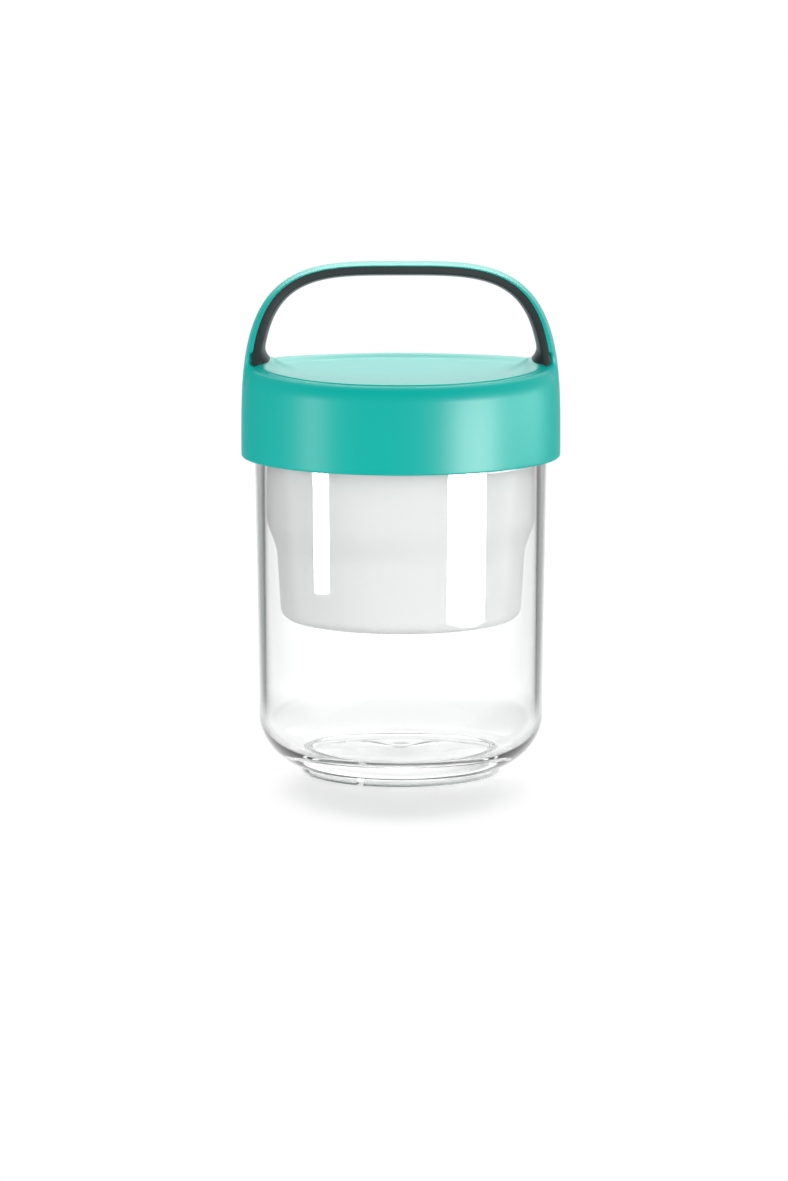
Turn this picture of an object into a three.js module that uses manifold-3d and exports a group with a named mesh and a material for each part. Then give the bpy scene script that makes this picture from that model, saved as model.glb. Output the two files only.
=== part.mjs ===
// A to-go jar: a clear jar, a milky cup that hangs in its mouth, and a quick-turn lid with an arched handle.
// Millimetres, +Z up. The origin is the centre of the foot ring's underside, and the handle spans X.
import * as THREE from "three";
import { mergeVertices } from "three/addons/utils/BufferGeometryUtils.js";
import Module from "manifold-3d";

const wasm = await Module();
wasm.setup();

// Shared by every piece
const FACETS = 48; // sides of each turned piece
const CLEARANCE = 0.3; // between pieces that rest on or slip past each other
const BOND_GAP = 0.2; // between the handle and the soft layer moulded on it
const OVERRUN = 2; // how far a joined or cutting solid runs past a surface

// Jar
const JAR_HEIGHT = 115.5;
const MOUTH_RADIUS = 42.8; // inside the rim
const NECK_WALL = 2;
const NECK_HEIGHT = 12.3; // from the shoulder's end to the rim
const SHOULDER_STEP = 1.2; // the body stands out from the neck by this much
const SHOULDER_HEIGHT = 3.2;
const BODY_TAPER = 1.3; // the body's radius shrinks by this much down to its lower corner
const BODY_WALL = 3.3;
const CORNER_ACROSS = 18.6; // half-axes of the big lower corner
const CORNER_UP = 17.5;
const CORNER_LOW = 1.2; // height of the lowest point that the corner's curve would reach
const FLOOR_HEIGHT = 7.4; // inside floor above the table
const FOOT_RADIUS = 31.5;
const FOOT_WIDTH = 2.8;
const FOOT_RECESS = 3; // height of the floor's underside
const FOOT_EDGE = 0.4;
const RIM_ROUND = 0.8;
const NOTCH_COUNT = 3;
const NOTCH_WIDTH = 3.2;
const NOTCH_HEIGHT = 1.2;
const NOTCH_ANGLE = THREE.MathUtils.degToRad(245.7); // of the notch that shows at the front

// Turn lugs on the neck and in the lid
const LUG_COUNT = 4;
const LUG_STEPS = 2; // smoothness of each lug's arcs
const LUG_DEPTH = 1.3;
const LUG_HEIGHT = 2.6;
const LUG_EMBED = 0.5; // how far a lug's root lies in the wall that carries it
const LUG_DROP = 5.3; // from the rim down to the top of the neck's lugs
const NECK_LUG_ARC = THREE.MathUtils.degToRad(38);
const LID_LUG_ARC = THREE.MathUtils.degToRad(34);
const LUG_PLAY = 0.45; // between the lid's lugs and the neck
const STOP_ARC = THREE.MathUtils.degToRad(3);
const STOP_HEIGHT = 3; // how far the turn stop reaches below its lug

// Cup
const CUP_CLEARANCE = 0.8; // between the cup and the jar's mouth
const CUP_WALL = 1.6;
const CUP_DEPTH = 69.1; // from the flange's underside to the foot
const CUP_UPPER_DEPTH = 35.5; // the straight part below the flange
const CUP_CONE_HEIGHT = 14.2;
const CUP_CONE_STEP = 3.3; // the lower part is narrower by this much
const CUP_TAPER = 0.9;
const CUP_CORNER = 4;
const CUP_FOOT_WIDTH = 1.6;
const CUP_FOOT_HEIGHT = 0.8;
const FLANGE_THICKNESS = 1.6;
const FLANGE_SETBACK = 0.4; // the flange ends this far inside the neck
const FLANGE_ROUND = 0.5;

// Seals
const SEAL_HEIGHT = 1.6;
const SEAL_ROUND = 0.5;
const LID_SEAL_WIDTH = 3.2;

// Lid: skirt, top and closure ring
const LID_COVER = 15.7; // the skirt reaches this far below the jar's rim
const LINER_WALL = 1.6;
const LINER_RISE = 1.4; // the closure ring ends this far above the skirt's edge
const LINER_LAND = 8.4; // width of the flat ring over the seal
const RIB_WIDTH = 1;
const RIB_HEIGHT = 1.2;
const SKIRT_WALL = 1.6;
const SKIRT_ROUND = 0.6;
const CHAMFER = 2.4; // inside the lid's upper corner
const TOP_WALL = 2.4;
const TOP_RECESS = 1.2; // from the lip down to the recessed floor
const LIP_SETBACK = 4.6; // from the skirt in to the lip
const LIP_STEP = 0.35; // small step round the outside of the lip
const LIP_WIDTH = 0.8;
const LIP_SLOPE = 5.5; // width of the slope from the lip to the floor
const SHOULDER_DROP = 5.2; // height of the rounded shoulder below the lip
const LIP_RISE = 1.65; // the lip is higher by this much where it meets the handle
const LIP_RISE_POWER = 3;

// Handle
const ARCH_HEIGHT = 60.6; // from the skirt's edge to the top of the arch
const ARCH_WIDTH_POWER = 3.66;
const ARCH_HEIGHT_POWER = 3.57;
const ARCH_STEPS = 44;
const STRAP_TOP_HALF_WIDTH = 7.2;
const STRAP_FOOT_HALF_WIDTH = 10.5;
const STRAP_CORE = 2.5; // depth of the strap's stiff core
const CORE_INSET = 2; // the core is narrower than the strap by this much a side
const EDGE_AT_TOP = 0.25; // thickness of the strap's visible edge
const EDGE_AT_FOOT = 1.15;
const STRAP_SINK = 0.3; // the strap starts this far under the lid's wall
const STRAP_START = 17; // height of its hidden start above the skirt's edge
const GRIP_FACE = 2.2; // visible front face of the soft layer
const GRIP_CROWN = 1.3; // its inner face bulges by this much
const GRIP_FLARE = 4.35; // and spreads by this much at its feet
const GRIP_FLARE_HEIGHT = 6;
const GRIP_FLARE_POWER = 3;
const PAD_HEIGHT = 30.6; // of the lid's top where the grip stands on it, above the skirt's edge
const PAD_HALF_WIDTH = 17;
const PAD_END = 10; // from the skirt in to the pad's flat part
const PAD_BLEND = 9; // length of the curve from the pad down to the floor

// Worked out from the sizes above
const neckRadius = MOUTH_RADIUS + NECK_WALL;
const bodyRadius = neckRadius + SHOULDER_STEP;
const lowRadius = bodyRadius - BODY_TAPER;
const cornerRadiusIn = lowRadius - CORNER_ACROSS;
const cornerHeight = CORNER_LOW + CORNER_UP;
const lugRadius = neckRadius + LUG_DEPTH;
const linerInner = lugRadius + CLEARANCE;
const linerOuter = linerInner + LINER_WALL;
const skirtInner = linerOuter + CLEARANCE;
const lidRadius = skirtInner + SKIRT_WALL;
const cupRadius = MOUTH_RADIUS - CUP_CLEARANCE;
const flangeRadius = neckRadius - FLANGE_SETBACK;
const cupSealBottom = JAR_HEIGHT + CLEARANCE;
const flangeBottom = cupSealBottom + SEAL_HEIGHT + CLEARANCE;
const flangeTop = flangeBottom + FLANGE_THICKNESS;
const lidSealBottom = flangeTop + CLEARANCE;
const landBottom = lidSealBottom + SEAL_HEIGHT + CLEARANCE;
const linerTop = landBottom + LINER_WALL;
const hollowTop = linerTop + CLEARANCE;
const topFloor = hollowTop + TOP_WALL;
const lipTop = topFloor + TOP_RECESS;
const skirtBottom = JAR_HEIGHT - LID_COVER;
const lipRadius = lidRadius - LIP_SETBACK;
const shoulderBottom = lipTop - LIP_STEP - SHOULDER_DROP;
const lugTop = JAR_HEIGHT - LUG_DROP;
const lidLugTop = lugTop - LUG_HEIGHT - CLEARANCE;
const padStart = lidRadius - PAD_END - PAD_BLEND;

// An elliptical arc of profile points about [r, z], from one angle to another.
function arc(r, z, across, up, from, to, steps) {
  return Array.from({ length: steps + 1 }, (_, i) => {
    const angle = from + ((to - from) * i) / steps;
    return [r + across * Math.cos(angle), z + up * Math.sin(angle)];
  });
}

// A soft S-shaped run of profile points between two ends, without the ends.
function sweepBetween([r0, z0], [r1, z1], steps) {
  return Array.from({ length: steps - 1 }, (_, i) => {
    const share = (i + 1) / steps;
    const eased = (1 - Math.cos(Math.PI * share)) / 2;
    return [r0 + (r1 - r0) * eased, z0 + (z1 - z0) * share];
  });
}

const smooth = (value) => {
  const share = THREE.MathUtils.clamp(value, 0, 1);
  return share * share * (3 - 2 * share);
};

// A closed geometry with shared vertices and no collapsed triangles.
function weld(geometry) {
  const bare = geometry.clone();
  bare.deleteAttribute("normal");
  bare.deleteAttribute("uv");
  const merged = mergeVertices(bare, BOND_GAP / 1000);
  const kept = [];
  const index = merged.index.array;
  for (let i = 0; i < index.length; i += 3) {
    const [a, b, c] = [index[i], index[i + 1], index[i + 2]];
    if (a !== b && b !== c && c !== a) kept.push(a, b, c);
  }
  merged.setIndex(kept);
  return merged;
}

// The solid of a closed geometry, for joining and cutting.
function solid(geometry) {
  const welded = weld(geometry);
  return new wasm.Manifold(
    new wasm.Mesh({
      numProp: 3,
      vertProperties: new Float32Array(welded.attributes.position.array),
      triVerts: new Uint32Array(welded.index.array),
    }),
  );
}

// The geometry of a solid.
function geometryOf(made) {
  const { vertProperties, triVerts } = made.getMesh();
  return new THREE.BufferGeometry()
    .setAttribute("position", new THREE.Float32BufferAttribute(vertProperties, 3))
    .setIndex(new THREE.BufferAttribute(new Uint32Array(triVerts), 1));
}

// A body turned about Z from [radius, height] points: up the outside and down the inside.
function turned(points) {
  const profile = points.map(([r, z]) => new THREE.Vector2(r, z));
  return new THREE.LatheGeometry(profile, FACETS).rotateX(Math.PI / 2);
}

// A ring turned about Z whose profile closes on itself.
const turnedRing = (points) => turned([...points, points[0]]);

// A lug or stop: a stretch of ring between two radii, centred on an angle.
function sector(inner, outer, bottom, height, angle, width) {
  const shape = new THREE.Shape();
  shape.absarc(0, 0, outer, angle - width / 2, angle + width / 2, false);
  shape.absarc(0, 0, inner, angle + width / 2, angle - width / 2, true);
  shape.closePath();
  const options = { depth: height, bevelEnabled: false, curveSegments: LUG_STEPS };
  return new THREE.ExtrudeGeometry(shape, options).translate(0, 0, bottom);
}

const lugAngle = (i) => (2 * Math.PI * i) / LUG_COUNT;

// A loft through rings of points, closed at both ends by the flat outline.
function loft(rings, outline) {
  const count = outline.length;
  const positions = rings.flatMap((ring) => ring.flatMap((p) => [p.x, p.y, p.z]));
  const index = [];
  for (let i = 0; i < rings.length - 1; i++) {
    for (let j = 0; j < count; j++) {
      const a = i * count + j;
      const b = i * count + ((j + 1) % count);
      index.push(a, b, a + count, b, b + count, a + count);
    }
  }
  const last = (rings.length - 1) * count;
  for (const [a, b, c] of THREE.ShapeUtils.triangulateShape(outline, [])) {
    index.push(a, c, b, last + a, last + b, last + c);
  }
  return new THREE.BufferGeometry()
    .setAttribute("position", new THREE.Float32BufferAttribute(positions, 3))
    .setIndex(index);
}

// The jar
function jarBody() {
  const footStart = -Math.acos((FOOT_RADIUS - cornerRadiusIn) / CORNER_ACROSS);
  const innerLow = lowRadius - BODY_WALL;
  const shoulderTop = JAR_HEIGHT - NECK_HEIGHT;
  const shoulderLow = [bodyRadius, shoulderTop - SHOULDER_HEIGHT];
  const neckLow = [neckRadius, shoulderTop];
  const rim = JAR_HEIGHT - RIM_ROUND;
  const profile = [
    [0, FOOT_RECESS],
    [FOOT_RADIUS - FOOT_WIDTH - FOOT_EDGE, FOOT_RECESS],
    [FOOT_RADIUS - FOOT_WIDTH, FOOT_RECESS - FOOT_EDGE],
    [FOOT_RADIUS - FOOT_WIDTH, 0],
    [FOOT_RADIUS - FOOT_EDGE, 0],
    [FOOT_RADIUS, FOOT_EDGE],
    ...arc(cornerRadiusIn, cornerHeight, CORNER_ACROSS, CORNER_UP, footStart, 0, 9),
    shoulderLow,
    ...sweepBetween(shoulderLow, neckLow, 4),
    neckLow,
    ...arc(neckRadius - RIM_ROUND, rim, RIM_ROUND, RIM_ROUND, 0, Math.PI / 2, 2),
    ...arc(MOUTH_RADIUS + RIM_ROUND, rim, RIM_ROUND, RIM_ROUND, Math.PI / 2, Math.PI, 2),
    ...arc(cornerRadiusIn, cornerHeight, innerLow - cornerRadiusIn, cornerHeight - FLOOR_HEIGHT, 0, -Math.PI / 2, 7),
    [0, FLOOR_HEIGHT],
  ];
  let made = solid(turned(profile));
  const lugInner = neckRadius - LUG_EMBED;
  for (let i = 0; i < LUG_COUNT; i++) {
    const angle = lugAngle(i);
    const lug = sector(lugInner, lugRadius, lugTop - LUG_HEIGHT, LUG_HEIGHT, angle, NECK_LUG_ARC);
    const stopAngle = angle - (NECK_LUG_ARC - STOP_ARC) / 2;
    const stopHeight = LUG_HEIGHT + STOP_HEIGHT;
    const stop = sector(lugInner, lugRadius, lugTop - stopHeight, stopHeight, stopAngle, STOP_ARC);
    made = made.add(solid(lug)).add(solid(stop));
  }
  for (let i = 0; i < NOTCH_COUNT; i++) {
    const length = FOOT_WIDTH + 2 * OVERRUN;
    const notch = new THREE.BoxGeometry(length, NOTCH_WIDTH, 2 * NOTCH_HEIGHT);
    notch.translate(FOOT_RADIUS - FOOT_WIDTH / 2, 0, 0);
    notch.rotateZ(NOTCH_ANGLE + (2 * Math.PI * i) / NOTCH_COUNT);
    made = made.subtract(solid(notch));
  }
  return geometryOf(made);
}

// The cup that hangs in the jar's mouth
function innerCup() {
  const bottom = flangeBottom - CUP_DEPTH;
  const coneTop = flangeBottom - CUP_UPPER_DEPTH;
  const coneLow = coneTop - CUP_CONE_HEIGHT;
  const narrow = cupRadius - CUP_CONE_STEP;
  const base = narrow - CUP_TAPER;
  const corner = [base - CUP_CORNER, bottom + CUP_CORNER];
  const inner = CUP_CORNER - CUP_WALL;
  const footInner = corner[0] - CUP_FOOT_WIDTH;
  const profile = [
    [0, bottom + CUP_FOOT_HEIGHT],
    [footInner - CUP_FOOT_HEIGHT, bottom + CUP_FOOT_HEIGHT],
    [footInner, bottom],
    ...arc(...corner, CUP_CORNER, CUP_CORNER, -Math.PI / 2, 0, 4),
    [narrow, coneLow],
    ...sweepBetween([narrow, coneLow], [cupRadius, coneTop], 5),
    [cupRadius, coneTop],
    [cupRadius, flangeBottom],
    [flangeRadius - FLANGE_ROUND, flangeBottom],
    [flangeRadius, flangeBottom + FLANGE_ROUND],
    [flangeRadius, flangeTop - FLANGE_ROUND],
    [flangeRadius - FLANGE_ROUND, flangeTop],
    [cupRadius - CUP_WALL + FLANGE_ROUND, flangeTop],
    [cupRadius - CUP_WALL, flangeTop - FLANGE_ROUND],
    [cupRadius - CUP_WALL, coneTop],
    ...sweepBetween([cupRadius - CUP_WALL, coneTop], [narrow - CUP_WALL, coneLow], 5),
    [narrow - CUP_WALL, coneLow],
    ...arc(corner[0], corner[1] + CUP_FOOT_HEIGHT, inner, inner, 0, -Math.PI / 2, 3),
    [0, bottom + CUP_FOOT_HEIGHT + CUP_WALL],
  ];
  return geometryOf(solid(turned(profile)));
}

// A silicone ring with eased edges
function sealRing(inner, outer, bottom) {
  const top = bottom + SEAL_HEIGHT;
  return geometryOf(
    solid(
      turnedRing([
        [inner + SEAL_ROUND, bottom],
        [outer - SEAL_ROUND, bottom],
        [outer, bottom + SEAL_ROUND],
        [outer, top - SEAL_ROUND],
        [outer - SEAL_ROUND, top],
        [inner + SEAL_ROUND, top],
        [inner, top - SEAL_ROUND],
        [inner, bottom + SEAL_ROUND],
      ]),
    ),
  );
}

const cupSeal = () => sealRing(cupRadius + CLEARANCE, flangeRadius, cupSealBottom);
const lidSeal = () => sealRing(flangeRadius - LID_SEAL_WIDTH, flangeRadius, lidSealBottom);

// The closure ring inside the lid, with the turn lugs and the seal's channel
function lidLiner() {
  const bottom = skirtBottom + LINER_RISE;
  const ribBottom = landBottom - RIB_HEIGHT;
  const ribOut = flangeRadius + CLEARANCE;
  const ribIn = flangeRadius - LID_SEAL_WIDTH - CLEARANCE;
  const landInner = linerOuter - LINER_LAND;
  let made = solid(
    turnedRing([
      [linerInner, bottom],
      [linerOuter, bottom],
      [linerOuter, linerTop - CHAMFER],
      [linerOuter - CHAMFER, linerTop],
      [landInner, linerTop],
      [landInner, ribBottom],
      [ribIn, ribBottom],
      [ribIn, landBottom],
      [ribOut, landBottom],
      [ribOut, ribBottom],
      [ribOut + RIB_WIDTH, ribBottom],
      [linerInner, landBottom - LINER_WALL - RIB_HEIGHT],
    ]),
  );
  const lugInner = neckRadius + LUG_PLAY;
  for (let i = 0; i < LUG_COUNT; i++) {
    const angle = lugAngle(i + 1 / 2);
    const outer = linerInner + LUG_EMBED;
    const lug = sector(lugInner, outer, lidLugTop - LUG_HEIGHT, LUG_HEIGHT, angle, LID_LUG_ARC);
    made = made.add(solid(lug));
  }
  return geometryOf(made);
}

// The lid's wall and the handle's ridge lie on one outline: half-width at a height above the skirt's edge.
function outlineRadius(height) {
  const share = height / ARCH_HEIGHT;
  return lidRadius * (1 - share ** ARCH_HEIGHT_POWER) ** (1 / ARCH_WIDTH_POWER);
}

// Raises the top's lip towards the handle and curves the floor up to the pads under the grip.
function raiseTop(geometry, lift) {
  const position = geometry.attributes.position;
  const point = new THREE.Vector3();
  for (let i = 0; i < position.count; i++) {
    point.fromBufferAttribute(position, i);
    const across = Math.abs(point.x);
    const radius = Math.hypot(point.x, point.y);
    const amount = THREE.MathUtils.clamp((point.z - shoulderBottom) / (topFloor - shoulderBottom), 0, 1);
    const lip = LIP_RISE * (across / lipRadius) ** LIP_RISE_POWER;
    const along = THREE.MathUtils.clamp((across - padStart) / PAD_BLEND, 0, 1);
    const beside = THREE.MathUtils.clamp(Math.abs(point.y) / PAD_HALF_WIDTH, 0, 1);
    const inside = smooth((lidRadius - radius) / LIP_SETBACK);
    const pad = Math.max(0, skirtBottom + PAD_HEIGHT - point.z - lip) * inside;
    point.z += amount * (lip + pad * along ** 2 * (1 - beside ** 2) ** 2 + lift);
    position.setXYZ(i, point.x, point.y, point.z);
  }
  return geometry;
}

// The lid's outside as a full body, with its top raised by a small lift.
function capBody(lift) {
  const wall = 5;
  const shoulderRadius = outlineRadius(shoulderBottom - skirtBottom);
  const straight = Array.from({ length: wall }, (_, i) => {
    const height = SKIRT_ROUND + ((shoulderBottom - skirtBottom - SKIRT_ROUND) * i) / wall;
    return [outlineRadius(height), skirtBottom + height];
  });
  const lipOuter = [lipRadius, lipTop];
  const lipInner = [lipRadius - LIP_WIDTH, lipTop];
  const floorEdge = [lipRadius - LIP_WIDTH - LIP_SLOPE, topFloor];
  const floorShares = [0.96, 0.9, 0.84, 0.78, 0.6, 0.3];
  const across = shoulderRadius - lipRadius;
  const profile = [
    [0, skirtBottom],
    [lidRadius - SKIRT_ROUND, skirtBottom],
    ...straight,
    ...arc(lipRadius, shoulderBottom, across, SHOULDER_DROP, 0, Math.PI / 2, 6),
    lipOuter,
    lipInner,
    ...sweepBetween(lipInner, floorEdge, 4),
    floorEdge,
    ...floorShares.map((share) => [floorEdge[0] * share, topFloor]),
    [0, topFloor],
  ];
  return solid(raiseTop(turned(profile), lift));
}

// The handle's ridge, from its hidden start in the left wall over to the right.
class Ridge extends THREE.Curve {
  getPoint(t) {
    const start = Math.asin((STRAP_START / ARCH_HEIGHT) ** (ARCH_HEIGHT_POWER / 2));
    const angle = start + (Math.PI - 2 * start) * t;
    const cosine = Math.cos(angle);
    const across = Math.abs(cosine) ** (2 / ARCH_WIDTH_POWER) * Math.sign(cosine);
    const up = Math.sin(angle) ** (2 / ARCH_HEIGHT_POWER);
    return new THREE.Vector3(-lidRadius * across, 0, skirtBottom + ARCH_HEIGHT * up);
  }
}

// Sizes of the handle's section at one height.
function sectionAt(height) {
  const down = 1 - (height - skirtBottom - PAD_HEIGHT) / (ARCH_HEIGHT - PAD_HEIGHT);
  const half = THREE.MathUtils.lerp(STRAP_TOP_HALF_WIDTH, STRAP_FOOT_HALF_WIDTH, smooth(down));
  const sag = half ** 2 / (2 * lidRadius);
  const thicker = Math.sin((Math.PI / 2) * THREE.MathUtils.clamp(down, 0, 1));
  const edge = sag + THREE.MathUtils.lerp(EDGE_AT_TOP, EDGE_AT_FOOT, thicker);
  const sink = STRAP_SINK * smooth(1 - (height - skirtBottom - STRAP_START) / SHOULDER_DROP);
  const flareTop = skirtBottom + PAD_HEIGHT + GRIP_FLARE_HEIGHT;
  const flareShare = THREE.MathUtils.clamp((flareTop - height) / GRIP_FLARE_HEIGHT, 0, 1);
  const flare = GRIP_FLARE * flareShare ** GRIP_FLARE_POWER;
  return { half, edge, sink, flare };
}

// The stiff strap: crowned outside, with a core that the soft layer wraps. Points are [side, outward].
function strapSection({ half, edge, sink }) {
  const crownShares = [1, 0.75, 0.5, 0.25, 0, -0.25, -0.5, -0.75, -1];
  const crown = crownShares.map((share) => [share * half, -((share * half) ** 2) / (2 * lidRadius)]);
  const core = half - CORE_INSET;
  const inside = [
    [-half, -edge],
    [-core, -edge],
    [-core, -STRAP_CORE],
    [core, -STRAP_CORE],
    [core, -edge],
    [half, -edge],
  ];
  return [...crown, ...inside].map(([side, out]) => [side, out - sink]);
}

// The soft layer: flat front and back faces, a crowned inner face and a channel for the core.
function gripSection({ half, edge, flare }) {
  const faceEnd = edge + GRIP_FACE;
  const crown = GRIP_CROWN + flare;
  const innerShares = [-1, -0.8, -0.45, 0, 0.45, 0.8, 1];
  const core = half - CORE_INSET + BOND_GAP;
  const channel = [
    [half, -edge - BOND_GAP],
    [core, -edge - BOND_GAP],
    [core, -STRAP_CORE - BOND_GAP],
    [-core, -STRAP_CORE - BOND_GAP],
    [-core, -edge - BOND_GAP],
    [-half, -edge - BOND_GAP],
  ];
  const inner = innerShares.map((share) => [share * half, -faceEnd - crown * (1 - share ** 2)]);
  return [...channel, ...inner];
}

// Sweeps a section that changes with height along the ridge.
function sweep(section) {
  const ridge = new Ridge();
  ridge.arcLengthDivisions = ARCH_STEPS ** 2;
  const rings = [];
  let outline;
  for (let i = 0; i <= ARCH_STEPS; i++) {
    const point = ridge.getPointAt(i / ARCH_STEPS);
    const tangent = ridge.getTangentAt(i / ARCH_STEPS);
    const outward = new THREE.Vector3(-tangent.z, 0, tangent.x);
    const points = section(sectionAt(point.z));
    outline = points.map(([side, out]) => new THREE.Vector2(side, out));
    rings.push(points.map(([side, out]) => new THREE.Vector3(0, side, 0).addScaledVector(outward, out).add(point)));
  }
  return loft(rings, outline);
}

// The lid's outer shell with its handle
function lidShell() {
  const hollow = turned([
    [0, skirtBottom - OVERRUN],
    [skirtInner, skirtBottom - OVERRUN],
    [skirtInner, hollowTop - CHAMFER],
    [skirtInner - CHAMFER, hollowTop],
    [0, hollowTop],
  ]);
  const made = capBody(0).add(solid(sweep(strapSection))).subtract(solid(hollow));
  return geometryOf(made);
}

// The soft layer on the inside of the handle, which stands on the lid's raised pads
function handleGrip() {
  return geometryOf(solid(sweep(gripSection)).subtract(capBody(CLEARANCE)));
}

const clear = { transparent: true, opacity: 0.35 };
const parts = [
  ["jar_body", jarBody, { color: 0xe4eceb, roughness: 0.06, ...clear }],
  ["inner_cup", innerCup, { color: 0xe3e8e6, roughness: 0.35, transparent: true, opacity: 0.8 }],
  ["cup_seal", cupSeal, { color: 0xdfe4e3, roughness: 0.6 }],
  ["lid_seal", lidSeal, { color: 0xdfe4e3, roughness: 0.6 }],
  ["lid_liner", lidLiner, { color: 0xe9eceb, roughness: 0.5 }],
  ["lid_shell", lidShell, { color: 0x0ec2b6, roughness: 0.45 }],
  ["handle_grip", handleGrip, { color: 0x4a5153, roughness: 0.75 }],
];

const jar = new THREE.Group();
for (const [name, make, finish] of parts) {
  const mesh = new THREE.Mesh(make(), new THREE.MeshStandardMaterial({ metalness: 0, ...finish }));
  mesh.name = name;
  jar.add(mesh);
}

export default jar;
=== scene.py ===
"""The dressed to-go jar: a clear jar, a milky cup, a turn lid with an arched handle, and a plain stage."""
import math

import bmesh
import bpy
import numpy as np
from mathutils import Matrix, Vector
from mathutils.kdtree import KDTree


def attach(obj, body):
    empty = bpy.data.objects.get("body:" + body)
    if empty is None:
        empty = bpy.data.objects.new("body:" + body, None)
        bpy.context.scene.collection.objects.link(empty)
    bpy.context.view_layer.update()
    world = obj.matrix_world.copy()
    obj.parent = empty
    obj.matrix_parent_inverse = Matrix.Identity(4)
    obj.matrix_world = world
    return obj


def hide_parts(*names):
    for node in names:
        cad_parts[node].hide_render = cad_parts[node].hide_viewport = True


bl_info = {
    "name": "To-go jar",
    "version": (1, 0, 0),
    "blender": (4, 5, 0),
    "location": "View3D > Sidebar > Jar",
    "description": "Makes a clear to-go jar with a hanging cup and an arched handle on its lid",
    "category": "Add Mesh",
}

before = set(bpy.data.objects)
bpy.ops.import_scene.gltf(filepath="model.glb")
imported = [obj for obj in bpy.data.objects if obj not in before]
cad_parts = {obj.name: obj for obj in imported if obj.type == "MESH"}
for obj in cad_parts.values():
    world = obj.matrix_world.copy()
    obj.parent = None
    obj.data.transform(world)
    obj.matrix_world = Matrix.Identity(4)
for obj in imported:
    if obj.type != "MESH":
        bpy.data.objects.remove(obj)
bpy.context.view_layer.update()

MM = 0.001
FULL_TURN = 2 * math.pi
WELD = 0.001 * MM  # points closer than this are one
SMOOTH_ANGLE = math.radians(33)  # edges sharper than this stay crisp
LUG_SOFT_SHARE = 0.25  # of a lug's depth, taken off its corners
FLAT_SHARE = 0.6  # of a flat face's radius, where a ring of points keeps its shading even


def length(name, description, millimetres):
    """A size that the user can change, given here in millimetres."""
    value = millimetres * MM
    return bpy.props.FloatProperty(name=name, description=description, default=value, unit="LENGTH")


def angle(name, description, degrees):
    """An angle, given here in degrees."""
    value = math.radians(degrees)
    return bpy.props.FloatProperty(name=name, description=description, default=value, subtype="ANGLE")


def power(name, description, value):
    """A power in a formula."""
    return bpy.props.FloatProperty(name=name, description=description, default=value)


def colour(name, description, value):
    """A linear colour."""
    return bpy.props.FloatVectorProperty(
        name=name, description=description, default=value, size=3, min=0, max=1, subtype="COLOR"
    )


def count(name, description, value):
    """A whole number."""
    return bpy.props.IntProperty(name=name, description=description, default=value, min=1)


class JarSizes(bpy.types.PropertyGroup):
    """Sizes of the jar, the cup in its mouth and the seals"""

    sides: count("Sides", "Sides of each turned piece", 192)
    height: length("Height", "Jar height up to its rim", 115.5)
    mouth: length("Mouth radius", "Inside radius at the rim", 42.8)
    neck: length("Neck radius", "Outside radius of the neck", 44.8)
    neck_end: length("Neck end", "Height where the neck ends and the shoulder starts", 103.2)
    body: length("Body radius", "Outside radius below the shoulder", 46.0)
    shoulder: length("Shoulder height", "Height of the curve from the body in to the neck", 3.2)
    low: length("Lower radius", "Outside radius at the top of the lower corner", 44.7)
    corner_across: length("Corner width", "Half-width of the lower corner's curve", 18.6)
    corner_up: length("Corner height", "Half-height of the lower corner's curve", 17.5)
    corner_low: length("Corner low point", "Lowest height that the corner's curve would reach", 1.2)
    wall: length("Wall", "Thickness of the jar's wall at the lower corner", 2.3)
    floor: length("Floor", "Height of the inside floor", 7.4)
    floor_flat: length("Flat floor", "Radius of the flat part of the inside floor", 31.0)
    foot: length("Foot radius", "Outside radius of the foot ring", 31.5)
    foot_width: length("Foot width", "Width of the foot ring", 2.8)
    recess: length("Recess", "Height of the floor's underside", 3.0)
    dimple: length("Dimple radius", "Radius of the small dimple under the floor's centre", 2.2)
    dimple_depth: length("Dimple depth", "Depth of the small dimple", 0.9)
    notches: count("Notches", "Drain notches through the foot ring", 3)
    notch_width: length("Notch width", "Width of each drain notch", 3.2)
    notch_height: length("Notch height", "Height of each drain notch", 1.2)
    notch_angle: angle("Notch angle", "Direction of the notch that shows at the front", 245.7)
    lugs: count("Lugs", "Turn lugs on the neck and in the lid", 4)
    lug_radius: length("Lug radius", "Outside radius of the neck's lugs", 46.1)
    lug_top: length("Lug top", "Height of the top of the neck's lugs", 110.2)
    lug_height: length("Lug height", "Height of each lug", 2.6)
    lug_arc: angle("Lug arc", "Stretch of the neck that each lug covers", 38)
    stop_arc: angle("Stop arc", "Stretch of the neck that each turn stop covers", 3)
    stop_height: length("Stop height", "How far each turn stop reaches below its lug", 3.0)
    cup: length("Cup radius", "Outside radius of the cup below its flange", 42.0)
    cup_wall: length("Cup wall", "Thickness of the cup", 1.6)
    cup_bottom: length("Cup bottom", "Height of the cup's foot", 48.6)
    cup_cone: length("Cup cone", "Height where the cup starts to narrow", 82.2)
    cup_cone_end: length("Cup cone end", "Height where it has narrowed", 68.0)
    cup_low: length("Cup lower radius", "Outside radius below the cone", 38.65)
    cup_base: length("Cup base radius", "Outside radius above the cup's lower corner", 37.75)
    cup_corner: length("Cup corner", "Radius of the cup's lower corner", 4.0)
    flange: length("Flange radius", "Outside radius of the cup's flange", 44.4)
    flange_low: length("Flange underside", "Height of the flange's underside", 117.7)
    flange_top: length("Flange top", "Height of the flange's top", 119.3)
    seal_height: length("Seal height", "Height of each seal", 1.6)
    cup_seal: length("Cup seal height", "Height of the lower seal's underside", 115.8)
    lid_seal: length("Lid seal height", "Height of the upper seal's underside", 119.6)
    lid_seal_width: length("Lid seal width", "Width of the upper seal", 3.2)


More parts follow.
